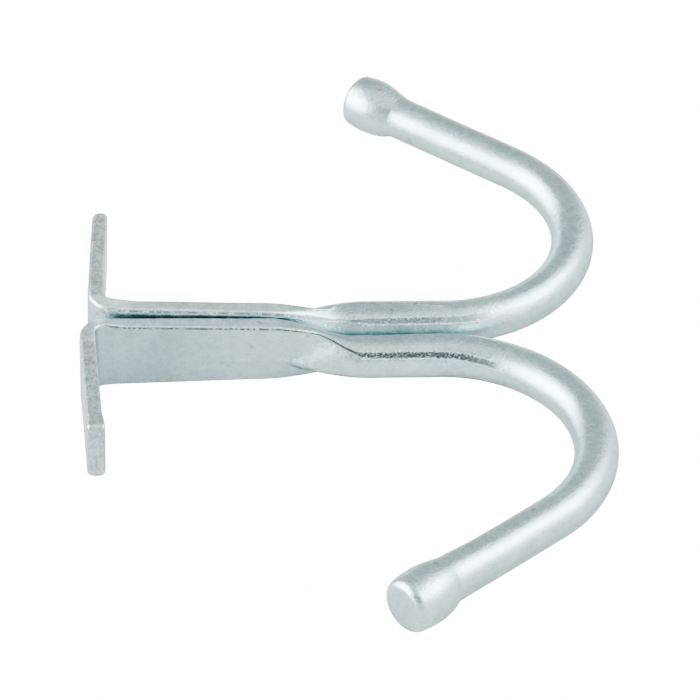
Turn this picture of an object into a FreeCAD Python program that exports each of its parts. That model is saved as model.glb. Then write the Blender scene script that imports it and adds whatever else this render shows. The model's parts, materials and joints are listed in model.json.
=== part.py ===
import FreeCAD, Part
import Sketcher
import math
import os

# A pair of forged steel lifting hooks, laid back to back on their sides.
#
# Each hook is one length of round bar. One end is upset into a knob, the bar is bent into a U,
# runs straight along the shank, is pressed flat into a strap, and the strap turns into a foot.
#
# Frame of one hook: the bend starts at the origin, on the bar's axis. X runs along the shank
# towards the U, Y is the way the U and the foot open, Z is the strap's width.
# Frame of the pair: Z up from the floor, X along the shanks, the far hook opens towards +Y.

doc = FreeCAD.newDocument("frame_grip")

# Driving dimensions, millimetres and degrees
DIMENSIONS = [
    ("bar_dia", 8.0, "round bar"),
    ("bend_radius", 26.2, "bar's axis in the U"),
    ("shank_length", 65.3, "foot's outer face to the start of the bend"),
    ("strap_front", 1.1, "strap's front face, behind the bar's axis"),
    ("heel_thickness", 2.75, "strap at the heel"),
    ("neck_thickness", 3.25, "strap where the bar starts to rise out of it"),
    ("heel_width", 13.8, "strap and foot at the heel"),
    ("neck_width", 11.9, "strap where the bar starts to rise out of it"),
    ("neck_start", 30.0, "flattening ends, before the start of the bend"),
    ("neck_end", 16.0, "bar is fully round again, before the start of the bend"),
    ("foot_thickness", 2.9, "foot plate"),
    ("foot_lean", 3.0, "foot leans towards the U"),
    ("heel_inside", 1.9, "inner radius of the heel"),
    ("heel_outside", 4.7, "outer radius of the heel"),
    ("foot_corner", 2.0, "corners of the foot's end"),
    ("knob_dia", 10.6, "upset knob"),
    ("knob_length", 10.2, "upset knob"),
    ("knob_shoulder", 3.4, "cone from the bar up to the knob"),
    ("knob_edge", 1.5, "rounding round the knob's face"),
    ("far_foot", 25.4, "bar's axis to the end of the far hook's foot"),
    ("near_foot", 27.6, "bar's axis to the end of the near hook's foot"),
    ("far_bend", 141.4, "how far the far hook's U turns"),
    ("near_bend", 140.05, "how far the near hook's U turns"),
    ("far_arm", 36.4, "end of the bend to the knob's face, far hook"),
    ("near_arm", 35.85, "end of the bend to the knob's face, near hook"),
]

sheet = doc.addObject("Spreadsheet::Sheet", "dims")
for row, (alias, value, meaning) in enumerate(DIMENSIONS, start=1):
    sheet.set(f"A{row}", str(value))
    sheet.setAlias(f"A{row}", alias)
    sheet.set(f"B{row}", meaning)
doc.recompute()

# How each hook lies at rest: where its bend starts, then yaw, pitch and roll in degrees.
# The straps are wider than the bar, so each hook lies nose down on its heel and its bend.
LIE = {
    "far_hook": (FreeCAD.Vector(0.08, -0.1, 0.0), FreeCAD.Rotation(0.0, 2.2, 0.75)),
    "near_hook": (FreeCAD.Vector(-1.47, -9.55, -0.15), FreeCAD.Rotation(-0.75, 1.2, 179.25)),
}

SPARE = 5.0  # how far a cutting outline runs past the metal
BACK_BLEND = 0.05  # strap's back stands this far behind the bar where it runs out
INSIDE = 0.1  # how far the neck's first section lies under the strap's faces


def origin_plane(body, role):
    """One of a body's own origin planes."""
    return [item for item in body.Origin.OriginFeatures if item.Role == role][0]


def new_sketch(body, name, role):
    sketch = body.newObject("Sketcher::SketchObject", name)
    sketch.AttachmentSupport = [(origin_plane(body, role), "")]
    sketch.MapMode = "FlatFace"
    return sketch


def draw_outline(sketch, points):
    """Closed outline of straight lines through points, joined end to end; gives the first line's number."""
    first = sketch.GeometryCount
    count = len(points)
    for i in range(count):
        start = FreeCAD.Vector(*points[i], 0)
        end = FreeCAD.Vector(*points[(i + 1) % count], 0)
        sketch.addGeometry(Part.LineSegment(start, end), False)
    for i in range(count):
        sketch.addConstraint(Sketcher.Constraint("Coincident", first + i, 2, first + (i + 1) % count, 1))
    return first


def place_point(sketch, line, point, x_expr, y_expr):
    """Holds the start of a line at x and y, each a formula on the sheet."""
    for kind, value, formula in (("DistanceX", point[0], x_expr), ("DistanceY", point[1], y_expr)):
        number = sketch.addConstraint(Sketcher.Constraint(kind, -1, 1, line, 1, value))
        sketch.setExpression(f"Constraints[{number}]", formula)


def outline_from_sheet(sketch, corners):
    """Closed outline whose every corner is a pair of formulas on the sheet."""
    points = [(sheet_value(x), sheet_value(y)) for x, y in corners]
    first = draw_outline(sketch, points)
    for i, (x_expr, y_expr) in enumerate(corners):
        place_point(sketch, first + i, points[i], x_expr, y_expr)


def sheet_value(formula):
    """What a formula on the sheet comes to, for the first drawing of a point."""
    return float(sheet.evalExpression(formula.replace("dims.", "")))


def draw_circle(sketch, radius_expr):
    """Circle about the sketch's origin."""
    radius = sheet_value(radius_expr)
    circle = sketch.addGeometry(Part.Circle(FreeCAD.Vector(), FreeCAD.Vector(0, 0, 1), radius), False)
    sketch.addConstraint(Sketcher.Constraint("Coincident", circle, 3, -1, 1))
    number = sketch.addConstraint(Sketcher.Constraint("Radius", circle, radius))
    sketch.setExpression(f"Constraints[{number}]", radius_expr)


def edges_where(shape, wanted):
    """Names of the edges that a test accepts, as a fillet asks for them."""
    return [f"Edge{i}" for i, edge in enumerate(shape.Edges, start=1) if wanted(edge)]


def add_fillet(body, base, alias, wanted):
    """Rounds the accepted edges of the last feature by one of the sheet's radii."""
    edges = edges_where(base.Shape, wanted)
    if not edges:
        raise RuntimeError(f"no edges to round for {alias} on {body.Label}")
    fillet = body.newObject("PartDesign::Fillet", f"{body.Label}_{alias}")
    fillet.Base = (base, edges)
    fillet.setExpression("Radius", f"dims.{alias}")
    doc.recompute()
    return fillet


def build_strap(body, foot):
    """The flattened strap and its foot: an L seen from the side, as wide as the heel."""
    profile = new_sketch(body, body.Label + "_side", "XY_Plane")
    lean = "tan(dims.foot_lean * 1 deg)"
    rise = f"({foot} + dims.strap_front)"
    outline_from_sheet(profile, [
        ("-dims.neck_end", "-dims.strap_front"),
        ("-dims.shank_length + dims.foot_thickness", "-dims.strap_front"),
        (f"-dims.shank_length + dims.foot_thickness + {rise} * {lean}", foot),
        (f"-dims.shank_length + {rise} * {lean}", foot),
        (f"-dims.shank_length - dims.heel_thickness * {lean}", "-(dims.strap_front + dims.heel_thickness)"),
        ("-dims.neck_start", "-(dims.strap_front + dims.neck_thickness)"),
        ("-dims.neck_end", f"-(dims.bar_dia / 2 + {BACK_BLEND})"),
    ])
    strap = body.newObject("PartDesign::Pad", body.Label + "_strap")
    strap.Profile = profile
    strap.Midplane = True
    strap.setExpression("Length", "dims.heel_width")
    doc.recompute()
    return strap


def round_heel(body, strap):
    """Inner radius, then outer radius, of the right-angled heel."""
    heel_x = -sheet.shank_length
    last = strap
    for alias, x, y in (
        ("heel_inside", heel_x + sheet.foot_thickness, -sheet.strap_front),
        ("heel_outside", heel_x, -sheet.strap_front - sheet.heel_thickness),
    ):
        def upright_here(edge, x=x, y=y):
            box = edge.BoundBox
            near = math.hypot(box.Center.x - x, box.Center.y - y) < 0.5
            return near and box.ZLength > box.XLength + box.YLength

        last = add_fillet(body, last, alias, upright_here)
    return last


def taper_strap(body, base):
    """Both sides of the strap drawn in from the heel to the neck, and to nothing under the bar."""
    sketch = new_sketch(body, body.Label + "_sides", "XZ_Plane")
    for side in ("", "-"):
        outer = f"{side}(dims.heel_width / 2 + {SPARE})"
        outline_from_sheet(sketch, [
            ("-dims.shank_length + dims.heel_outside", outer),
            ("-dims.shank_length + dims.heel_outside", f"{side}(dims.heel_width / 2)"),
            ("-dims.neck_start", f"{side}(dims.neck_width / 2)"),
            ("-(dims.neck_start + 2 * dims.neck_end) / 3", f"{side}(dims.bar_dia * 0.42)"),
            ("-dims.neck_end", f"{side}(dims.bar_dia / 16)"),
            ("-dims.neck_end + 1", f"{side}(dims.bar_dia / 16)"),
            ("-dims.neck_end + 1", outer),
        ])
    taper = body.newObject("PartDesign::Pocket", body.Label + "_taper")
    taper.Profile = sketch
    taper.Type = "ThroughAll"
    taper.Midplane = True
    doc.recompute()
    if taper.Shape.Volume > 0.99 * base.Shape.Volume:
        raise RuntimeError(f"the taper of {body.Label} cuts nothing")


def build_neck(body):
    """Where the round bar sinks into the flat: a low wide ellipse inside the strap grows to the bar."""
    flat_sketch = new_sketch(body, body.Label + "_neck_flat", "YZ_Plane")
    flat_sketch.setExpression(".AttachmentOffset.Base.z", "-dims.neck_start")
    half_width = sheet.neck_width / 2 - INSIDE
    half_height = sheet.neck_thickness / 2 - INSIDE
    centre = FreeCAD.Vector(-sheet.strap_front - sheet.neck_thickness / 2, 0, 0)
    across = centre + FreeCAD.Vector(0, half_width, 0)
    up = centre + FreeCAD.Vector(half_height, 0, 0)
    ellipse = flat_sketch.addGeometry(Part.Ellipse(across, up, centre), False)
    flat_sketch.addConstraint(Sketcher.Constraint("Block", ellipse))

    round_sketch = new_sketch(body, body.Label + "_neck_round", "YZ_Plane")
    round_sketch.setExpression(".AttachmentOffset.Base.z", "-dims.neck_end")
    draw_circle(round_sketch, "dims.bar_dia / 2")

    neck = body.newObject("PartDesign::AdditiveLoft", body.Label + "_neck")
    neck.Profile = flat_sketch
    neck.Sections = [round_sketch]
    doc.recompute()


def build_shank(body):
    """The round bar from the neck to the start of the U."""
    section = new_sketch(body, body.Label + "_bar", "YZ_Plane")
    draw_circle(section, "dims.bar_dia / 2")
    shank = body.newObject("PartDesign::Pad", body.Label + "_shank")
    shank.Profile = section
    shank.Reversed = True
    shank.setExpression("Length", "dims.neck_end")
    doc.recompute()


def build_bend(body, turn):
    """The bar's section turned about an upright line through the U's centre."""
    section = new_sketch(body, body.Label + "_bend_section", "YZ_Plane")
    draw_circle(section, "dims.bar_dia / 2")
    foot_of_line = FreeCAD.Vector(sheet.bend_radius, 0, 0)
    top_of_line = FreeCAD.Vector(sheet.bend_radius, sheet.bar_dia, 0)
    pivot = section.addGeometry(Part.LineSegment(foot_of_line, top_of_line), True)
    section.addConstraint(Sketcher.Constraint("Vertical", pivot))
    number = section.addConstraint(Sketcher.Constraint("DistanceX", -1, 1, pivot, 1, sheet.bend_radius))
    section.setExpression(f"Constraints[{number}]", "dims.bend_radius")
    bend = body.newObject("PartDesign::Revolution", body.Label + "_bend")
    bend.Profile = section
    bend.ReferenceAxis = (section, ["Axis0"])
    bend.setExpression("Angle", turn)
    doc.recompute()
    if bend.Shape.BoundBox.XMax < sheet.bend_radius:
        bend.Reversed = True
        doc.recompute()


def knob_face(arm, bend):
    """Centre of the knob's face, for an arm of this length past the end of a bend of this angle."""
    turn = math.radians(bend)
    x = sheet.bend_radius * math.sin(turn) + arm * math.cos(turn)
    y = sheet.bend_radius * (1 - math.cos(turn)) + arm * math.sin(turn)
    return FreeCAD.Vector(x, y, 0)


def build_arm(body, arm, bend):
    """The straight arm and its knob, turned about the arm's axis from the knob's face back."""
    section = new_sketch(body, body.Label + "_arm_section", "XY_Plane")
    turn = f"{bend} * 1 deg"
    face_x = f"dims.bend_radius * sin({turn}) + {arm} * cos({turn})"
    face_y = f"dims.bend_radius * (1 - cos({turn})) + {arm} * sin({turn})"
    section.setExpression(".AttachmentOffset.Base.x", face_x)
    section.setExpression(".AttachmentOffset.Base.y", face_y)
    section.setExpression(".AttachmentOffset.Rotation.Angle", turn)
    outline_from_sheet(section, [
        (f"-{arm}", "0"),
        (f"-{arm}", "dims.bar_dia / 2"),
        ("-dims.knob_length", "dims.bar_dia / 2"),
        ("-dims.knob_length + dims.knob_shoulder", "dims.knob_dia / 2"),
        ("0", "dims.knob_dia / 2"),
        ("0", "0"),
    ])
    turned = body.newObject("PartDesign::Revolution", body.Label + "_arm")
    turned.Profile = section
    turned.ReferenceAxis = (section, ["H_Axis"])
    turned.Angle = 360
    doc.recompute()
    return turned


def soften_ends(body, last, face, foot):
    """Rounded corners on the foot's end, and a rounded edge round the knob's face."""
    rise = foot + sheet.strap_front
    lean = math.tan(math.radians(sheet.foot_lean))
    tip = FreeCAD.Vector(-sheet.shank_length + sheet.foot_thickness / 2 + rise * lean, foot, 0)

    def foot_corner(edge):
        box = edge.BoundBox
        near = math.hypot(box.Center.x - tip.x, box.Center.y - tip.y) < 0.5
        return near and box.ZLength < 0.01 and box.XLength > 0.9 * sheet.foot_thickness

    def knob_rim(edge):
        return (edge.BoundBox.Center - face).Length < 0.1 and edge.Length > sheet.knob_dia

    last = add_fillet(body, last, "foot_corner", foot_corner)
    add_fillet(body, last, "knob_edge", knob_rim)


def build_hook(label):
    """One whole hook as a body of its own; far_ or near_ picks its arm, foot and bend."""
    side = label.split("_")[0]
    arm = f"dims.{side}_arm"
    foot = f"dims.{side}_foot"
    bend = f"dims.{side}_bend"
    body = doc.addObject("PartDesign::Body", label)
    body.Label = label
    strap = build_strap(body, foot)
    rounded = round_heel(body, strap)
    taper_strap(body, rounded)
    build_neck(body)
    build_shank(body)
    build_bend(body, bend)
    turned = build_arm(body, arm, bend)
    face = knob_face(sheet_value(arm), sheet_value(bend))
    soften_ends(body, turned, face, sheet_value(foot))
    return body


def lay_down(bodies):
    """Lays the hooks side by side, with the pair's origin on the floor under its middle."""
    for body in bodies:
        base, turn = LIE[body.Label]
        body.Placement = FreeCAD.Placement(base, turn)
    doc.recompute()
    box = Part.makeCompound([body.Shape for body in bodies]).optimalBoundingBox()
    shift = FreeCAD.Vector(-box.Center.x, -box.Center.y, -box.ZMin)
    for body in bodies:
        base, turn = LIE[body.Label]
        body.Placement = FreeCAD.Placement(base + shift, turn)
    doc.recompute()


def check_document(bodies):
    """Stops on any failed feature, or on a hook that isn't one valid solid."""
    for item in doc.Objects:
        if "Invalid" in item.State or "Error" in item.State:
            raise RuntimeError(f"{item.Label} failed: {item.State}")
    for body in bodies:
        shape = body.Shape
        if shape.isNull() or not shape.isValid() or len(shape.Solids) != 1:
            raise RuntimeError(f"{body.Label} is not one valid solid")


hooks = [build_hook(label) for label in LIE]
lay_down(hooks)
check_document(hooks)

os.makedirs("parts", exist_ok=True)
for hook in hooks:
    hook.Shape.exportStep(f"parts/{hook.Label}.step")
    size = hook.Shape.BoundBox
    print(hook.Label, round(hook.Shape.Volume, 1), "mm3,",
          [round(value, 2) for value in (size.XMin, size.YMin, size.ZMin, size.XMax, size.YMax, size.ZMax)])
    print("  bend starts at", [round(value, 3) for value in hook.Placement.Base])
gap = hooks[0].Shape.distToShape(hooks[1].Shape)[0]
print("clearance between the hooks", round(gap, 3))
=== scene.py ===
# %% [markdown]
# # A pair of forged lifting hooks
#
# Each hook is one length of round steel bar. A heading machine upsets one end into a knob, a former bends
# the bar into a U, and a die presses the far end flat, into a strap that is then bent square into a foot.
# Bright zinc plate covers all of it. The two hooks lie back to back on their sides.
#
# The sizes and the places come from the design, which is loaded first and is never moved. Everything
# here is in metres in the design's own frame: +Z is up, +X runs along the shanks towards the Us.

# %% Load the design
import bmesh
import bpy
import json
from math import asin, atan2, cos, degrees, pi, radians, sin, sqrt, tan
from mathutils import Matrix, Vector, noise


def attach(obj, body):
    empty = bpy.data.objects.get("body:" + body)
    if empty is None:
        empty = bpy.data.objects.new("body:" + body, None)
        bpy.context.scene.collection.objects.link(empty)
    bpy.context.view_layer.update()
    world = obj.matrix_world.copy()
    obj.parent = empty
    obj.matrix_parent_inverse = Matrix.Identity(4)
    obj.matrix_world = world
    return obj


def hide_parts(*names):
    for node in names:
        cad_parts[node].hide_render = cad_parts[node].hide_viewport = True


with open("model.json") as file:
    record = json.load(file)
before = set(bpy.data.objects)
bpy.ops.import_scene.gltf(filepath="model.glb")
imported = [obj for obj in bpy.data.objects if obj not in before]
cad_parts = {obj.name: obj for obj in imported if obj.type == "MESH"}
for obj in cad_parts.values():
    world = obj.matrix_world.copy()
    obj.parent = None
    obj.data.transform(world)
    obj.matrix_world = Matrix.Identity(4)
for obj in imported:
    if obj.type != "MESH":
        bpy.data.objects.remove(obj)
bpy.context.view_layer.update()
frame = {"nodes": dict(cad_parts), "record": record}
mounts = {mount["name"]: mount for mount in frame["record"]["mounts"]}
print("design loaded:", sorted(frame["nodes"]), "with mounts", sorted(mounts))

# %% [markdown]
# ## The camera
#
# A long lens from well back keeps the hooks' true proportions. A short lens close by would swell the near
# one. The camera looks down at about 39 degrees, from slightly left of square, and aims just off the
# middle of the pair.

# %% Camera
AIM = Vector((0.0008, -0.0012, 0.0048))
CAMERA_AZIMUTH = radians(-3.5)
CAMERA_ELEVATION = radians(38.83)
CAMERA_DISTANCE = 0.8134
LENS = 229.6
SENSOR = 36.0

back = Vector((
    sin(CAMERA_AZIMUTH) * cos(CAMERA_ELEVATION),
    -cos(CAMERA_AZIMUTH) * cos(CAMERA_ELEVATION),
    sin(CAMERA_ELEVATION),
))
camera_data = bpy.data.cameras.new("camera")
camera_data.lens = LENS
camera_data.sensor_width = SENSOR
camera = bpy.data.objects.new("camera", camera_data)
camera.location = AIM + back * CAMERA_DISTANCE
camera.rotation_euler = back.to_track_quat("Z", "Y").to_euler()
bpy.context.scene.collection.objects.link(camera)
bpy.context.scene.camera = camera
print("camera at", [round(value, 3) for value in camera.location])

# %% [markdown]
# ## Sums that write shader nodes
#
# A shader is easier to read as a sum than as a web of nodes. `Val` wraps one socket, and every operator
# used on it adds a Math node. `Shader` keeps the node tree, and its `node` method adds any other node:
# it takes the node's type, its settings, which are set first, what goes into its sockets, and which of
# its outputs is wanted.

# %% A small language for shaders
class Val:
    """One output of a node. Arithmetic on it adds Math nodes."""

    def __init__(self, shader, socket):
        self.shader = shader
        self.socket = socket

    def __add__(self, other):
        return self.shader.math("ADD", self, other)

    __radd__ = __add__

    def __sub__(self, other):
        return self.shader.math("SUBTRACT", self, other)

    def __rsub__(self, other):
        return self.shader.math("SUBTRACT", other, self)

    def __mul__(self, other):
        return self.shader.math("MULTIPLY", self, other)

    __rmul__ = __mul__

    def __truediv__(self, other):
        return self.shader.math("DIVIDE", self, other)


class Shader:
    """A node tree, and short ways to add to it."""

    def __init__(self, tree):
        self.tree = tree
        tree.nodes.clear()

    def node(self, kind, settings=None, inputs=None, out=0):
        """Adds a node, sets it up, fills its sockets, and gives the chosen output."""
        node = self.tree.nodes.new(kind)
        for name, value in (settings or {}).items():
            setattr(node, name, value)
        for name, value in (inputs or {}).items():
            if isinstance(value, Val):
                self.tree.links.new(value.socket, node.inputs[name])
            else:
                node.inputs[name].default_value = value
        return Val(self, node.outputs[out]) if node.outputs else node

    def split(self, vector):
        """The X, Y and Z of a vector."""
        node = self.node("ShaderNodeSeparateXYZ", None, {"Vector": vector}).socket.node
        return [Val(self, output) for output in node.outputs]

    def math(self, operation, *values):
        return self.node("ShaderNodeMath", {"operation": operation}, dict(enumerate(values)))

    def between(self, value, low, high):
        """0 below low, 1 above high, and a smooth step from one to the other."""
        settings = {"interpolation_type": "SMOOTHSTEP"}
        return self.node("ShaderNodeMapRange", settings, {"Value": value, "From Min": low, "From Max": high})

    def band(self, value, low, high, soft):
        """1 inside low to high, fading to 0 over soft on each side."""
        return self.between(value, low - soft, low) * (1 - self.between(value, high, high + soft))

    def noise(self, vector, scale, detail=2.0, roughness=0.5):
        """Soft random patches. A scale of 100 gives patches about a hundredth of the vector's unit long."""
        inputs = {"Vector": vector, "Scale": scale, "Detail": detail, "Roughness": roughness}
        return self.node("ShaderNodeTexNoise", None, inputs)

    def mix_colour(self, factor, first, second):
        """Colour between first and second."""
        node = self.tree.nodes.new("ShaderNodeMix")
        node.data_type = "RGBA"
        for index, value in ((0, factor), (6, first), (7, second)):
            if isinstance(value, Val):
                self.tree.links.new(value.socket, node.inputs[index])
            else:
                node.inputs[index].default_value = value
        return Val(self, node.outputs[2])


print("shader helpers ready")

# %% [markdown]
# ## The studio
#
# Plated steel is mostly a picture of the room it is in. The hooks stand in a white light tent, so the
# room is written straight into the world's shader, by direction. Area lamps could do it too, but here
# every panel's edge is a number. There is a white tent, a duller back wall, a bright panel on each side, a
# soft overhead cloth, and the dim opening that the camera looks in through. That opening gives the
# darker line along each round bar, where the bar faces it.
#
# Azimuth 0 is the camera's side, and +90 is towards +X. Elevation 90 is straight up.

# %% Light tent
WALL = 2.1
BACK_WALL_LOSS = 1.1
CLOTH = 2.1
SIDE_PANEL = 22.0
SIDE_GLOW = 2.5
ABOVE_OPENING_LOSS = 0.75
OPENING_SHADE = 0.66
COOL = (0.965, 0.99, 1.0, 1.0)
WARM = (1.0, 0.99, 0.96, 1.0)
DEGREES = 180 / pi

world = bpy.data.worlds.new("light_tent")
world.use_nodes = True
bpy.context.scene.world = world
tent = Shader(world.node_tree)
ray_x, ray_y, ray_z = tent.split(tent.node("ShaderNodeTexCoord", out="Generated"))
azimuth = tent.math("ARCTAN2", ray_x, 0 - ray_y) * DEGREES
elevation = tent.math("ARCSINE", ray_z) * DEGREES

turned_away = tent.math("ABSOLUTE", azimuth)
behind = tent.between(turned_away, 118, 158)
overhead = tent.between(elevation, 58, 82)
left_panel = tent.between(azimuth, -136, -116) * (1 - tent.between(azimuth, -66, -56))
left_panel = left_panel * tent.band(elevation, 6, 43, 5)
right_panel = tent.band(azimuth, 72, 108, 18) * tent.band(elevation, 37, 49, 7)
right_glow = tent.band(azimuth, 40, 130, 10) * tent.band(elevation, 16, 58, 9)
opening = tent.band(azimuth, -42, 22, 5) * tent.band(elevation, 24, 48, 2.0)
above_opening = tent.band(azimuth, -34, 20, 10) * tent.band(elevation, 44, 60, 6)

level = WALL - BACK_WALL_LOSS * behind
level = level + (CLOTH - level) * overhead
level = level - ABOVE_OPENING_LOSS * above_opening
level = level + SIDE_PANEL * left_panel + SIDE_PANEL * right_panel + SIDE_GLOW * right_glow
level = level * (1 - OPENING_SHADE * opening)
tint = tent.mix_colour(overhead, COOL, WARM)
light = tent.node("ShaderNodeBackground", None, {"Color": tint, "Strength": level})
tent.node("ShaderNodeOutputWorld", None, {"Surface": light})
print("tent: back wall, two side panels, overhead cloth and the camera's opening")

# %% [markdown]
# ## The floor
#
# One wide sheet of matt board. It isn't part of the object. In a real light tent the board is lit from
# below until it looks pure white to the camera, yet it sends little light up to the hooks. The shader does
# the same: the camera sees a white glow, and every other ray sees matt grey.

# %% Floor
FLOOR_REACH = 3.0
BOARD_DARK = (0.44, 0.44, 0.44, 1.0)
BOARD_LIGHT = (0.48, 0.48, 0.48, 1.0)
WHITE = (1.0, 1.0, 1.0, 1.0)
LIT_FROM_BELOW = 16.0


def new_object(name, bm):
    """Turns a finished bmesh into an object of the scene."""
    mesh = bpy.data.meshes.new(name)
    bm.to_mesh(mesh)
    bm.free()
    thing = bpy.data.objects.new(name, mesh)
    bpy.context.scene.collection.objects.link(thing)
    return thing


bm = bmesh.new()
bmesh.ops.create_grid(bm, x_segments=1, y_segments=1, size=FLOOR_REACH)
floor = new_object("floor", bm)
board = bpy.data.materials.new("white_board")
board.use_nodes = True
paint = Shader(board.node_tree)
fleck = paint.noise(paint.node("ShaderNodeTexCoord", out="Object"), 900.0, 3.0)
grey = paint.mix_colour(fleck, BOARD_DARK, BOARD_LIGHT)
matt = paint.node("ShaderNodeBsdfPrincipled", None, {"Base Color": grey, "Roughness": 0.8})
glow = paint.node("ShaderNodeEmission", None, {"Color": WHITE, "Strength": LIT_FROM_BELOW})
seen = paint.node("ShaderNodeLightPath", out="Is Camera Ray")
surface = paint.node("ShaderNodeMixShader", None, {0: seen, 1: matt, 2: glow})
paint.node("ShaderNodeOutputMaterial", None, {"Surface": surface})
floor.data.materials.append(board)
print("floor board", FLOOR_REACH * 2, "m square")

# %% [markdown]
# ## Where each hook lies
#
# Both hooks are modelled in one plain frame, in millimetres: X along the shank, Y the way the U opens,
# Z across the strap, and the origin on the bar's axis where the U begins. The design's mounts say where
# that frame lies: the finger rest gives X and a point, and the strap's face gives Y.

# %% Sizes, and each hook's place
MM = 0.001
BAR_RADIUS = 4.0
BEND_RADIUS = 26.2
BEND_ANGLE = {"far": radians(141.4), "near": radians(140.05)}
SHANK_LENGTH = 65.3
STRAP_FRONT = -1.1
HEEL_BACK = -3.85
NECK_BACK = -4.35
HEEL_HALF_WIDTH = 6.9
NECK_HALF_WIDTH = 5.95
FOOT_THICKNESS = 2.9
FOOT_LEAN = radians(3)
HEEL_INSIDE = 1.9
ARM = {"far": 36.4, "near": 35.85}
FOOT = {"far": 25.4, "near": 27.6}


def place_of(side):
    """Matrix that carries a hook from its own millimetres to its place in the design, in metres."""
    rest = mounts[side + "_finger_rest"]
    x = Vector(rest["axis"]).normalized()
    y = Vector(mounts[side + "_strap_face"]["axis"])
    z = x.cross(y).normalized()
    y = z.cross(x)
    inside = BEND_RADIUS - BAR_RADIUS
    origin = Vector(rest["pos_m"]) - (x * inside + y * BEND_RADIUS) * MM
    turn = Matrix((x, y, z)).transposed().to_4x4()
    return Matrix.Translation(origin) @ turn @ Matrix.Scale(MM, 4)


PLACE = {side: place_of(side) for side in ("far", "near")}
for side, place in PLACE.items():
    print(side, "hook's bend starts at", [round(value * 1000, 2) for value in place.translation], "mm")

# %% [markdown]
# ## Forging with rings
#
# The bar is one tube of rings. The first ring is a circle where the U begins. Extruding its edges and
# moving the new ring is just what the smith does with hot bar: draw it out, swing it round a former,
# swell it, or press it flat. Each point carries two numbers for later: how far round the ring it is, and
# how far along the bar. The finish uses them as a map that follows the metal.

# %% Ring helpers
RING = 96


def ring_parts(made):
    """The new ring's points and edges, out of what an extrude made."""
    points = [item for item in made if isinstance(item, bmesh.types.BMVert)]
    kept = set(points)
    edges = [item for item in made if isinstance(item, bmesh.types.BMEdge)]
    return points, [edge for edge in edges if edge.verts[0] in kept and edge.verts[1] in kept]


def first_ring(bm):
    """Circle of the bar's section across X at the origin, each point numbered round from the front."""
    upright = Matrix.Rotation(radians(90), 4, "Y")
    made = bmesh.ops.create_circle(bm, cap_ends=False, radius=BAR_RADIUS, segments=RING, matrix=upright)
    around = bm.verts.layers.float["around"]
    for point in made["verts"]:
        turn = atan2(point.co.z, point.co.y) % (2 * pi)
        point[around] = round(turn / (2 * pi) * RING) % RING
    return made["verts"], list(bm.edges)


def draw_out(bm, edges, shift, along):
    """Extrudes the ring by a shift; along is how far along the bar the new ring is."""
    points, edges = ring_parts(bmesh.ops.extrude_edge_only(bm, edges=edges)["geom"])
    bmesh.ops.translate(bm, vec=shift, verts=points)
    layer = bm.verts.layers.float["along"]
    for point in points:
        point[layer] = along
    return points, edges


def swing(bm, edges, centre, angle, along):
    """Extrudes the ring and turns it about an upright line through centre."""
    points, edges = draw_out(bm, edges, Vector(), along)
    turn = Matrix.Rotation(angle, 3, "Z")
    bmesh.ops.rotate(bm, cent=centre, matrix=turn, verts=points)
    return points, edges


def close_ring(bm, edges, steps):
    """Fills the last ring with a face, and insets it a few times so that the face can carry shading."""
    face = bmesh.ops.edgeloop_fill(bm, edges=edges)["faces"]
    for depth in steps:
        bmesh.ops.inset_region(bm, faces=face, thickness=depth, use_even_offset=True)
    return face


def ease(value, low, high):
    """0 below low, 1 above high, and a smooth step between."""
    t = min(max((value - low) / (high - low), 0.0), 1.0)
    return t * t * (3 - 2 * t)


print("a ring has", RING, "points, one every", round(2 * pi * BAR_RADIUS / RING, 2), "mm")

# %% [markdown]
# ## The flattened section
#
# A die leaves a strap with flat faces, nearly flat edges and small rounded corners. The ring's points
# are shared out so that the corners get plenty: from the middle of the front face, round a corner, down
# the edge, round the back corner, to the middle of the back.

# %% Strap section
HALF_RING = RING // 2
FRONT_POINTS = 17
CORNER_POINTS = 7
EDGE_POINTS = 4
BACK_START = FRONT_POINTS + 2 * CORNER_POINTS + EDGE_POINTS
FRONT_CORNER = 0.45
BACK_CORNER = 0.6


def strap_point(number, half_width, front, back, soften=1.0):
    """Where point number of a ring lies on a flat bar's outline, as (y, z)."""
    side = 1 if number <= HALF_RING else -1
    n = number if number <= HALF_RING else RING - number
    fit = min(soften, 0.9 * (front - back) / (FRONT_CORNER + BACK_CORNER))
    front_round = FRONT_CORNER * fit
    back_round = BACK_CORNER * fit
    first_corner = FRONT_POINTS + CORNER_POINTS
    edge_end = first_corner + EDGE_POINTS
    if n <= FRONT_POINTS:
        y, z = front, (half_width - front_round) * n / FRONT_POINTS
    elif n <= first_corner:
        turn = pi / 2 * (n - FRONT_POINTS) / CORNER_POINTS
        y = front - front_round * (1 - cos(turn))
        z = half_width - front_round * (1 - sin(turn))
    elif n <= edge_end:
        share = (n - first_corner) / EDGE_POINTS
        y = front - front_round + share * (back + back_round - front + front_round)
        z = half_width
    elif n <= BACK_START:
        turn = pi / 2 * (n - edge_end) / CORNER_POINTS
        y = back + back_round * (1 - sin(turn))
        z = half_width - back_round * (1 - cos(turn))
    else:
        share = (n - BACK_START) / (HALF_RING - BACK_START)
        y, z = back, (half_width - back_round) * (1 - share)
    return y, side * z


print("strap corners", FRONT_CORNER, "mm at the front,", BACK_CORNER, "mm at the back")

# %% [markdown]
# ## The neck
#
# Between the strap and the bar the die ran out. The bar's round front slides down a ramp onto the flat
# and ends in a tongue, while its sides spread and its back flattens. Each ring of the neck is a mix of
# the two outlines, and the sunken bar is laid over it: whichever stands higher wins, with a small
# hollow where they meet.

# %% Neck section
TONGUE_TIP = -28.2
TONGUE_Z = 1.9
RAMP_TOP = -12.5
SINK = 4.7
SLANT = 0.95
HOLLOW = 0.25
PINCH = 0.06
RAMP_POWER = 1.8
STRAP_LENGTH = SHANK_LENGTH - 30.0
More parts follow.
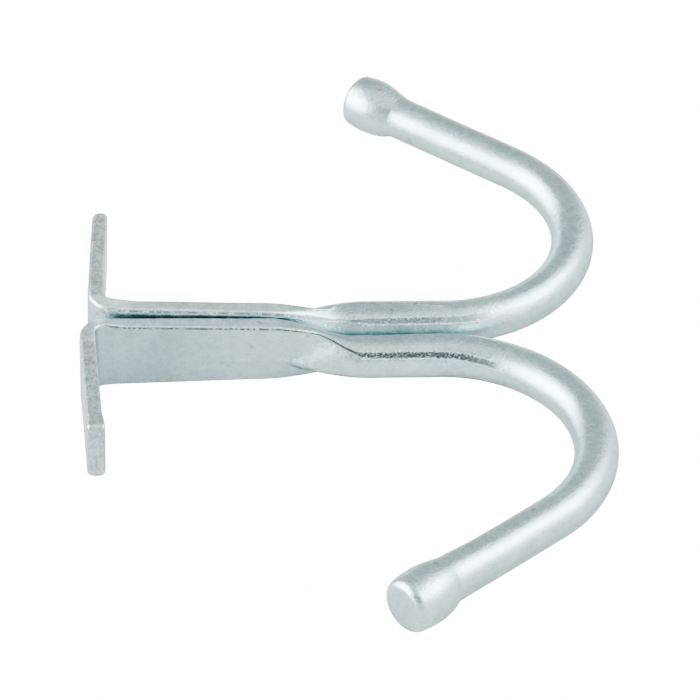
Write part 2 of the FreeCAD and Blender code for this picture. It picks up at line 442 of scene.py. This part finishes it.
# where along the shank each change starts and ends, in millimetres from the U
ROUNDING = (-31.0, -15.0)
PINCH_BEGINS = (-25.0, -17.0)
PINCH_ENDS = (-12.0, 0.0)
LATE_RISE = (-21.0, -12.5)


def climb(x, z):
    """How far the front has climbed from the flat, at 0, to the round bar, at 1. z is towards the tongue."""
    above = max(TONGUE_Z - z, 0.0)
    start = TONGUE_TIP + SLANT * above
    t = min(max((x - start) / (RAMP_TOP - start), 0.0), 1.0)
    # the ramp starts more softly the further it is from the tongue
    soft = 0.02 + 0.07 * min(above, 4.0)
    t = t * t * (1 + soft) / (t + soft)
    return 1 - (1 - t) ** RAMP_POWER


def higher_of(a, b, soft):
    """The higher of two heights, blended where they are within soft of each other."""
    gap = max(soft - abs(a - b), 0.0)
    return max(a, b) + gap * gap / (4 * soft)


def strap_size(x):
    """Half width of the strap at x, and where its back is."""
    share = (x + SHANK_LENGTH) / STRAP_LENGTH
    half_width = HEEL_HALF_WIDTH + (NECK_HALF_WIDTH - HEEL_HALF_WIDTH) * share
    back = HEEL_BACK + (NECK_BACK - HEEL_BACK) * min(share, 1.0)
    return max(half_width, BAR_RADIUS), back


def neck_point(number, x, shift):
    """Where point number of the ring at x lies, as (y, z). shift moves the whole neck along the bar."""
    turn = 2 * pi * number / RING
    round_y, round_z = BAR_RADIUS * cos(turn), BAR_RADIUS * sin(turn)
    at = x - shift
    half_width, back = strap_size(x)
    flat_y, flat_z = strap_point(number, half_width, STRAP_FRONT, back)
    rounding = ease(at, *ROUNDING)
    pinch = 1 - PINCH * ease(at, *PINCH_BEGINS) * (1 - ease(at, *PINCH_ENDS))
    z = (flat_z + (round_z - flat_z) * rounding) * pinch
    rise = climb(at, z)
    back_y = flat_y + (round_y - flat_y) * rounding
    if z < TONGUE_Z - 1.0:
        front_y = flat_y + (round_y - flat_y) * rise
    else:
        late = flat_y + (round_y - flat_y) * ease(at, *LATE_RISE)
        sunk = sqrt(max(BAR_RADIUS ** 2 - z * z, 0.0)) - SINK * (1 - rise)
        front_y = higher_of(late, sunk, HOLLOW)
        share = ease(z, TONGUE_Z - 1.0, TONGUE_Z)
        front_y = front_y * share + (flat_y + (round_y - flat_y) * rise) * (1 - share)
    share = ease(cos(turn), -0.5, 0.15)
    return back_y + (front_y - back_y) * share, z


print("neck runs from", TONGUE_TIP, "to", RAMP_TOP, "mm")

# %% [markdown]
# ## From the U to the knob
#
# The U is the ring swung round the former in small steps. The arm is drawn out straight, and the knob is
# the same ring swollen, because the heading machine only gathers metal: there is no joint. It gathers
# fast at the neck, where the gripping die's edge leaves a faint kink, and the face's edge is rounded.

# %% U, arm and knob
BEND_STEPS = 64
ARM_STEPS = 14
KNOB_RADIUS = 5.3
KNOB_LENGTH = 10.2
KNOB_MIDDLE = 4.4
# on the smooth side: where the swelling starts, and how much metal was dragged along the arm
KNOB_LEAD = {"far": (11.9, 0.0), "near": (12.2, 0.42)}
DRAG_ENDS = 21.0
KINK_POWER = 2.5
RIM_DEPTH = 1.9
FACE_RADIUS = 3.55
RIM_STEPS = 8
FACE_INSETS = (0.5, 1.0, 1.0)
# distances of the rings from the knob's face, closest together at the kink
KNOB_STATIONS = [20, 18, 16, 14, 13, 12, 11.4, 10.8, 10.35, 10.15, 9.95, 9.7, 9.4, 9.1]
KNOB_STATIONS += [8.7, 8.3, 7.8, 7.3, 6.7, 6.1, 5.4, 4.7, 4.0, 3.4, 2.8, 2.3, 1.9]


def knob_radius(distance, drawn, side):
    """Radius at a distance from the knob's face. drawn is 0 on the kinked side and 1 on the smooth side."""
    swell = KNOB_RADIUS - BAR_RADIUS
    reach, lead = KNOB_LEAD[side]
    if distance > KNOB_MIDDLE:
        into_neck = min((distance - KNOB_MIDDLE) / (KNOB_LENGTH - KNOB_MIDDLE), 1.0)
        kinked = swell * (1 - into_neck ** KINK_POWER)
        smooth = swell * (1 - ease(distance, KNOB_MIDDLE, reach))
        smooth += lead * (1 - ease(distance, KNOB_LENGTH, DRAG_ENDS)) * ease(distance, 3.5, 10.0)
    else:
        kinked = smooth = swell - 0.2 * ((KNOB_MIDDLE - distance) / (KNOB_MIDDLE - RIM_DEPTH)) ** 2
    return BAR_RADIUS + kinked + (smooth - kinked) * drawn


def make_arm(bm, edges, side, drawn_from):
    """Swings, draws and heads the bar from the first ring to the knob's face."""
    arm = ARM[side]
    angle = BEND_ANGLE[side]
    around = bm.verts.layers.float["around"]
    centre = Vector((0, BEND_RADIUS, 0))
    step = angle / BEND_STEPS
    for i in range(1, BEND_STEPS + 1):
        points, edges = swing(bm, edges, centre, step, BEND_RADIUS * step * i)
    bend_end = BEND_RADIUS * angle
    outwards = Vector((cos(angle), sin(angle), 0))
    start = Vector((BEND_RADIUS * sin(angle), BEND_RADIUS * (1 - cos(angle)), 0))
    plain = arm - KNOB_STATIONS[0]
    stations = [plain * i / ARM_STEPS for i in range(1, ARM_STEPS + 1)]
    stations += [arm - distance for distance in KNOB_STATIONS[1:]]
    rim_turns = [pi / 2 * i / RIM_STEPS for i in range(1, RIM_STEPS + 1)]
    stations += [arm - RIM_DEPTH * (1 - sin(turn)) for turn in rim_turns]
    here = 0.0
    for station in stations:
        points, edges = draw_out(bm, edges, outwards * (station - here), bend_end + station)
        here = station
        middle = start + outwards * station
        distance = arm - station
        for point in points:
            drawn = 0.5 + 0.5 * cos(2 * pi * point[around] / RING - drawn_from)
            radius = knob_radius(max(distance, RIM_DEPTH), drawn, side)
            if distance < RIM_DEPTH:
                turn = asin(min(1 - distance / RIM_DEPTH, 1.0))
                radius = FACE_RADIUS + (radius - FACE_RADIUS) * cos(turn)
            point.co = middle + (point.co - middle).normalized() * radius
    close_ring(bm, edges, FACE_INSETS)


print("knob", 2 * KNOB_RADIUS, "mm across,", KNOB_LENGTH, "mm long")

# %% [markdown]
# ## From the shank to the foot
#
# Going the other way, each new ring takes the shape of its place: round, then neck, then strap. At the
# heel the ring is swung round the inside radius, and metal bulges a little at the inner corner, as it
# does in any tight bend. The foot's end was sheared and tumbled, so its corners and edges are rounded.

# %% Shank, strap and foot
ROUND_STEPS = 10
NECK_STEP = 0.4
STRAP_STEPS = 24
HEEL_STEPS = 20
FOOT_STEPS = 22
TIP_STEPS = 12
# corner radius of the foot's end towards -Z and +Z, the rounding of its edges, and how far it is spread
FOOT_CORNERS = {"far": (2.0, 1.8), "near": (0.7, 5.0)}
FOOT_EDGE = {"far": 1.25, "near": 0.8}
FLARE = {"far": 0.0, "near": 0.35}
BLUNTING = 1.6
END_INSETS = (0.05, 0.1)


def set_section(bm, points, x, section):
    """Gives each point of the ring at x its (y, z) from a section formula."""
    around = bm.verts.layers.float["around"]
    for point in points:
        y, z = section(int(point[around]))
        point.co = (x, y, z)


def cut_back(distance, length, radius):
    """How far a corner of this radius has turned in, at a distance along a foot of this length."""
    into = max(distance - (length - radius), 0.0)
    return radius - sqrt(max(radius ** 2 - into ** 2, 0.0))


def make_foot(bm, edges, side, shift):
    """Draws the bar back from the first ring, presses it flat, and bends the foot."""
    neck_begin = RAMP_TOP + shift
    neck_end = ROUNDING[0] + shift
    strap_end = -SHANK_LENGTH + FOOT_THICKNESS + HEEL_INSIDE
    heel = Vector((strap_end + HEEL_INSIDE * tan(FOOT_LEAN), STRAP_FRONT + HEEL_INSIDE, 0))
    stations = [neck_begin * i / ROUND_STEPS for i in range(1, ROUND_STEPS + 1)]
    neck_count = round((neck_begin - neck_end) / NECK_STEP)
    stations += [neck_begin + (neck_end - neck_begin) * i / neck_count for i in range(1, neck_count + 1)]
    stations += [neck_end + (heel.x - neck_end) * i / STRAP_STEPS for i in range(1, STRAP_STEPS + 1)]
    here = 0.0
    for x in stations:
        points, edges = draw_out(bm, edges, Vector((x - here, 0, 0)), x)
        set_section(bm, points, x, lambda number: neck_point(number, x, shift))
        here = x
    around = bm.verts.layers.float["around"]
    for point in points:
        y, z = strap_point(int(point[around]), HEEL_HALF_WIDTH, STRAP_FRONT, HEEL_BACK)
        point.co = (here, y, z)

    heel_turn = pi / 2 + FOOT_LEAN
    for i in range(1, HEEL_STEPS + 1):
        middle = HEEL_INSIDE + FOOT_THICKNESS / 2
        along = here - middle * heel_turn * i / HEEL_STEPS
        points, edges = swing(bm, edges, heel, -heel_turn / HEEL_STEPS, along)

    up = Vector((sin(FOOT_LEAN), cos(FOOT_LEAN), 0))
    inwards = Vector((cos(FOOT_LEAN), -sin(FOOT_LEAN), 0))
    length = (FOOT[side] - heel.y) / cos(FOOT_LEAN)
    middle_line = heel - inwards * (HEEL_INSIDE + FOOT_THICKNESS / 2)
    corners = FOOT_CORNERS[side]
    deepest = max(corners)
    straight = [(length - deepest) * i / FOOT_STEPS for i in range(1, FOOT_STEPS + 1)]
    tip = [length - deepest * (1 - sin(pi / 2 * i / TIP_STEPS)) for i in range(1, TIP_STEPS + 1)]
    flat = here - (HEEL_INSIDE + FOOT_THICKNESS / 2) * heel_turn
    reached = 0.0
    for distance in straight + tip:
        points, edges = draw_out(bm, edges, up * (distance - reached), flat - distance)
        reached = distance
        half = FOOT_THICKNESS / 2 - cut_back(distance, length, FOOT_EDGE[side])
        for point in points:
            number = int(point[around])
            corner = corners[1] if number <= HALF_RING else corners[0]
            width = HEEL_HALF_WIDTH - cut_back(distance, length, corner)
            blunt = 1 + BLUNTING * ease(distance, length - 4.0, length - 1.0) * ease(corner, 0.7, 1.8)
            y, z = strap_point(number, width, half, -half, blunt)
            y += FLARE[side] * ease(distance, length - 5.0, length - 1.0) * ease(y, -half, half)
            point.co = middle_line + up * distance + inwards * y + Vector((0, 0, z))
    close_ring(bm, edges, END_INSETS)
    return heel


print("foot leans", round(degrees(FOOT_LEAN), 1), "degrees towards the U")

# %% [markdown]
# ## Hand-made unevenness
#
# Hot bar never comes out ruler straight. A slow wave of a few hundredths of a millimetre makes the long
# highlights wander, which is most of what tells the eye that this is forged and not drawn by machine.
# Near the heel's inner corner the upper edge is also pushed out, where the bend squeezed the metal. The
# edge that lies on the board stays flat.

# %% Unevenness
BULGE = 0.45
BULGE_REACH = 2.6
# length and height of the slow and the quick waves, in millimetres
SLOW_WAVE = (9.0, 0.045)
QUICK_WAVE = (2.6, 0.014)


def roughen(bm, heel, seed, upper):
    """Moves every point by a little smooth noise. upper is the sign of the side that lies upwards."""
    bm.normal_update()
    offset = Vector((seed, 2 * seed, 3 * seed))
    for point in bm.verts:
        slow = noise.noise(point.co / SLOW_WAVE[0] + offset)
        quick = noise.noise(point.co / QUICK_WAVE[0] + offset)
        close = (point.co.xy - heel.xy).length - HEEL_INSIDE
        squeeze = BULGE * ease(-close, -BULGE_REACH, 0.2) * ease(abs(point.co.z), 3.5, HEEL_HALF_WIDTH)
        point.co += point.normal * (SLOW_WAVE[1] * slow + QUICK_WAVE[1] * quick)
        if point.co.z * upper > 0:
            point.co.z += squeeze * upper


print("waves", SLOW_WAVE[1], "mm high, heel squeezed out", BULGE, "mm")

# %% [markdown]
# ## A map that follows the metal
#
# The finish needs to know where it is on the bar: the die's marks follow the strap's corners, and the
# grain runs along the bar. So each hook gets a UV map: U is the distance along the bar in millimetres,
# and V is the way round, from 0 to 1 and starting at the middle of the front.

# %% UV map
def map_metal(bm):
    """Writes the distance along and the way round to a UV map."""
    uv = bm.loops.layers.uv.new("metal")
    around = bm.verts.layers.float["around"]
    along = bm.verts.layers.float["along"]
    for face in bm.faces:
        numbers = [loop.vert[around] for loop in face.loops]
        crosses = max(numbers) - min(numbers) > RING / 2
        for loop, number in zip(face.loops, numbers):
            if crosses and number < RING / 2:
                number += RING
            loop[uv].uv = (loop.vert[along], number / RING)


print("metal map: millimetres along, and share of the way round")

# %% [markdown]
# ## The flash line and a painted reflection
#
# Where the two halves of the flattening die meet, a thin fin of metal is squeezed out, then torn off. It
# leaves a rough black line that plating hardly covers. It follows a corner of the strap and crosses the
# neck. From there the same black line runs on along the shank and into the U, but that part is a painted
# reflection: the dark, speckled streak of the tent's opening mirrored in the round bar. A second UV map
# carries both: U is the distance along the bar, and V is how far round from the line a point is, in
# millimetres of the round bar. On the strap's small corners the points sit closer together, so the line
# comes out thinner there. A number on each point says how strong the line is.

# %% Flash line
# each line's stops: distance along the bar, way round the ring, and strength. On the strap and the neck the
# stops follow the die's burr; from about -17 mm on, along the shank and into the U, they paint the
# reflection of the tent's dark opening as a black streak
FLASH_AND_REFLECTION_LINE = {
    "near": (
        (-61.5, 0.8110, 0.0), (-59.5, 0.8110, 0.85), (-30.0, 0.8110, 0.85), (-22.0, 0.8110, 1.0),
        (-19.5, 0.8220, 1.0), (-14.8, 0.8830, 1.0), (-3.0, 0.8870, 1.0), (4.0, 0.8980, 1.0),
        (11.0, 0.9200, 0.85), (13.5, 0.9260, 0.0),
    ),
    "far": (
        (-61.5, 0.3500, 0.0), (-59.5, 0.3500, 0.7), (-32.0, 0.3500, 0.7), (-26.0, 0.3560, 0.3),
        (-19.0, 0.3700, 0.3), (-17.0, 0.3760, 0.8), (-2.0, 0.3760, 0.85), (4.0, 0.3720, 0.6),
        (8.0, 0.3700, 0.0),
    ),
}


def flash_and_reflection_at(side, along):
    """Way round the ring and strength of the flash line and painted reflection, at a distance along the bar.
    """
    stops = FLASH_AND_REFLECTION_LINE[side]
    if along <= stops[0][0]:
        return stops[0][1:]
    for (a, place_a, strength_a), (b, place_b, strength_b) in zip(stops, stops[1:]):
        if along <= b:
            share = (along - a) / (b - a)
            return place_a + (place_b - place_a) * share, strength_a + (strength_b - strength_a) * share
    return stops[-1][1:]


def map_flash_and_reflection(bm, side):
    """Writes the distance from the flash line and painted reflection to a UV map, and its strength to each
    point.
    """
    uv = bm.loops.layers.uv.new("flash_and_reflection")
    strength = bm.verts.layers.float.new("strength")
    around = bm.verts.layers.float["around"]
    along = bm.verts.layers.float["along"]
    girth = 2 * pi * BAR_RADIUS
    for point in bm.verts:
        point[strength] = flash_and_reflection_at(side, point[along])[1]
    for face in bm.faces:
        for loop in face.loops:
            apart = loop.vert[around] / RING - flash_and_reflection_at(side, loop.vert[along])[0]
            loop[uv].uv = (loop.vert[along], (apart + 0.5) % 1.0 * girth - girth / 2)


for side, stops in FLASH_AND_REFLECTION_LINE.items():
    print(side, "flash line runs from", stops[0][0], "to", stops[-1][0], "mm")

# %% [markdown]
# ## Forging the pair
#
# Both hooks go through the same tools. Only their small differences are given here: how far the neck is
# shifted along the bar, which side of the knob was drawn smooth, and where the unevenness is taken from.
# Doubles are merged and normals turned outwards before the unevenness moves the points.

# %% The two hooks
MERGE = 0.002


def forge(side, shift, drawn_from, seed):
    """Makes one hook, lays it in its place, and hands it to its body."""
    bm = bmesh.new()
    bm.verts.layers.float.new("around")
    bm.verts.layers.float.new("along")
    _, edges = first_ring(bm)
    make_arm(bm, edges, side, drawn_from)
    heel = make_foot(bm, edges, side, shift)
    bmesh.ops.remove_doubles(bm, verts=bm.verts, dist=MERGE)
    bmesh.ops.recalc_face_normals(bm, faces=bm.faces)
    roughen(bm, heel, seed, 1 if side == "far" else -1)
    map_metal(bm)
    map_flash_and_reflection(bm, side)
    bmesh.ops.transform(bm, matrix=PLACE[side], verts=bm.verts)
    for face in bm.faces:
        face.smooth = True
    open_edges = sum(1 for edge in bm.edges if not edge.is_manifold)
    print(side, "hook:", len(bm.faces), "faces,", open_edges, "open edges")
    hook = new_object(side + "_hook_forging", bm)
    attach(hook, side + "_hook")
    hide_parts(side + "_hook")
    return hook


hooks = {
    "far": forge("far", -2.0, radians(123), 11.0),
    "near": forge("near", 0.0, radians(300), 4.0),
}

# %% [markdown]
# ## Bright zinc plate
#
# Electroplated zinc is a pale, faintly blue metal. It is glossy in the small and cloudy in the large: a
# fine grain breaks up sharp reflections, slow patches change the gloss, and there are a few brown specks.
# Pressed faces are smooth. Sheared edges are duller and pitted. One metal shader makes all of it: noises
# of several sizes mix two zinc colours and feed the gloss and a fine bump, and masks made from the hook's
# own maps say where the edges, the flash line and the painted reflection along the shank are.
#
# The first helper gathers what every mask reads: the place on the hook, the metal map, and its two parts.

# %% Where the finish is
def metal_places(shade):
    """Place, metal map, distance along, and half turn: 0 at the front's middle, 0.5 at the back's."""
    place = shade.node("ShaderNodeTexCoord", out="Object")
    metal_map = shade.node("ShaderNodeUVMap", {"uv_map": "metal"})
    along, around, _ = shade.split(metal_map)
    return place, metal_map, along, shade.math("PINGPONG", around, 0.5)


print("the finish reads object coordinates and the metal map")

# %% [markdown]
# ## Sheared edges
#
# The strap's two long edges, the foot's edges and the near foot's end were cut or squeezed, not pressed
# by a flat die. A band of the half turn picks the edges, and the distance along picks the rest.

# %% Edge masks
EDGE_LOW = (FRONT_POINTS + CORNER_POINTS - 1) / RING
EDGE_HIGH = (BACK_START - CORNER_POINTS + 1) / RING
EDGE_SOFT = 0.012
# distances along the bar over which each part gives way to the next, and where the near foot ends
STRAP_TO_NECK = (-31.0, -25.0)
FOOT_TO_STRAP = (-66.0, -61.0)
END_OF_FOOT = -92.7


def edge_masks(shade, along, half_turn):
    """1 on the strap's and the foot's edges, and how much of the sheared colour is anywhere."""
    on_strap = 1 - shade.between(along, *STRAP_TO_NECK)
    on_edge = shade.band(half_turn, EDGE_LOW, EDGE_HIGH, EDGE_SOFT) * on_strap
    on_foot = 1 - shade.between(along, *FOOT_TO_STRAP)
    on_foot_end = 1 - shade.between(along, END_OF_FOOT + 0.1, END_OF_FOOT + 0.6)
    sheared = shade.math("MAXIMUM", on_edge * (0.35 + 0.65 * on_foot), on_foot_end * 0.8)
    return on_edge, sheared


print("edges from", round(EDGE_LOW, 3), "to", round(EDGE_HIGH, 3), "of the way round")

# %% [markdown]
# ## The mask of the flash line and the painted reflection
#
# The line is where its own map's V is near 0. Along the strap it is the die's burr, thin and broken.
# Along the shank it is a painted reflection of the tent's dark opening, broad and crumbled, so a very
# fine noise eats its sides and its middle.

# %% Flash line and painted reflection mask
NECK_LINE_FROM = (-24.0, -20.5)
# from here on along the shank the black line is a painted reflection of the tent's dark opening, not burr
SHANK_REFLECTION_FROM = (-16.5, -13.5)
STRAP_REACH = 0.42
NECK_NARROWING = 0.18
# how much wider the painted reflection along the shank is than the burr on the strap
SHANK_REFLECTION_WIDENING = 0.34


def flash_and_reflection_mask(shade, place, metal_map, along):
    """How much of the black flash line, and of the painted reflection along the shank, there is."""
    flash_and_reflection_map = shade.node("ShaderNodeUVMap", {"uv_map": "flash_and_reflection"})
    off_line = shade.split(flash_and_reflection_map)[1]
    strength = shade.node("ShaderNodeAttribute", {"attribute_name": "strength"}, out="Fac")
    on_neck = shade.between(along, *NECK_LINE_FROM)
    on_shank_reflection = shade.between(along, *SHANK_REFLECTION_FROM)
    wander = (shade.noise(flash_and_reflection_map, 0.6, 2.0) - 0.5) * 0.25
    crumbs = shade.noise(place, 3400.0, 2.0, 0.8)
    ragged = (crumbs - 0.5) * (0.1 + 0.9 * on_shank_reflection)
    reach = STRAP_REACH - NECK_NARROWING * on_neck + SHANK_REFLECTION_WIDENING * on_shank_reflection
    from_line = shade.math("ABSOLUTE", off_line + wander) + ragged
    flash_and_reflection = 1 - shade.between(from_line / reach, 0.7, 1.3)
    broken = shade.between(shade.noise(metal_map, 1.6, 3.0, 0.7) + on_neck * 0.4, 0.36, 0.54)
    # speckles the painted reflection along the shank, like a dark streak mirrored in grainy zinc
    reflection_speckle = 1 - 0.45 * on_shank_reflection * shade.between(crumbs, 0.54, 0.60)
    return flash_and_reflection * broken * strength * reflection_speckle


print("flash line", STRAP_REACH, "mm to each side on the strap")

# %% [markdown]
# ## The metal itself
#
# The noises are in metres: a scale of 130 gives clouds about 8 mm across, 650 a mottle of 1.5 mm, and
# 2300 a grain of less than half a millimetre. The scratches stretch along the bar, because their noise
# reads the metal map squeezed along it.

# %% Zinc
ZINC_LIGHT = (0.50, 0.665, 0.68, 1.0)
ZINC_DARK = (0.345, 0.495, 0.525, 1.0)
EDGE_LIGHT = (0.46, 0.545, 0.525, 1.0)
EDGE_DARK = (0.21, 0.25, 0.24, 1.0)
STAIN = (0.30, 0.24, 0.17, 1.0)
# black of the die's burr on the strap and neck; along the shank the same black paints the reflection of the
# tent's dark opening
BURR_AND_REFLECTION_BLACK = (0.010, 0.009, 0.008, 1.0)
BUMP_HEIGHT = 0.00012


def zinc_plate():
    """The plated finish, on each hook's own maps and on object coordinates."""
    material = bpy.data.materials.new("zinc_plate")
    material.use_nodes = True
    shade = Shader(material.node_tree)
    place, metal_map, along, half_turn = metal_places(shade)
    on_edge, sheared = edge_masks(shade, along, half_turn)
    flash_and_reflection = flash_and_reflection_mask(shade, place, metal_map, along)

    cloud = shade.noise(place, 130.0, 4.0, 0.6)
    mottle = shade.noise(place, 650.0, 3.0, 0.65)
    grain = shade.noise(place, 2300.0, 3.0, 0.7)
    squeezed = shade.node("ShaderNodeMapping", None, {"Vector": metal_map, "Scale": (0.35, 90.0, 1.0)})
    scratch = shade.noise(squeezed, 6.0, 3.0, 0.6)

    tone = shade.between(cloud * 0.3 + mottle * 0.35 + grain * 0.35, 0.38, 0.62)
    colour = shade.mix_colour(tone, ZINC_DARK, ZINC_LIGHT)
    pitted = shade.between(mottle * 0.4 + grain * 0.6, 0.40, 0.60)
    colour = shade.mix_colour(sheared * 0.9, colour, shade.mix_colour(pitted, EDGE_DARK, EDGE_LIGHT))
    speck = shade.between(shade.noise(place, 420.0, 1.0, 0.4), 0.70, 0.78)
    colour = shade.mix_colour(speck * 0.6, colour, STAIN)
    # the black line: burr on the strap and neck, painted reflection of the tent's dark opening along the
    # shank and into the U
    colour = shade.mix_colour(flash_and_reflection * 0.95, colour, BURR_AND_REFLECTION_BLACK)

    roughness = 0.10 + 0.08 * cloud + 0.08 * mottle + 0.05 * scratch + 0.22 * on_edge + 0.5 * flash_and_reflection
    height = grain * (0.55 + 0.35 * sheared) + mottle * 0.45 + scratch * 0.12 - flash_and_reflection * 1.5
    inputs = {"Height": height, "Strength": 1.0, "Distance": BUMP_HEIGHT}
    bump = shade.node("ShaderNodeBump", None, inputs)
    inputs = {"Base Color": colour, "Metallic": 1.0, "Roughness": roughness, "Normal": bump}
    surface = shade.node("ShaderNodeBsdfPrincipled", None, inputs)
    shade.node("ShaderNodeOutputMaterial", None, {"Surface": surface})
    return material


zinc = zinc_plate()
for hook in hooks.values():
    hook.data.materials.append(zinc)
print("zinc plate on", [hook.name for hook in hooks.values()])
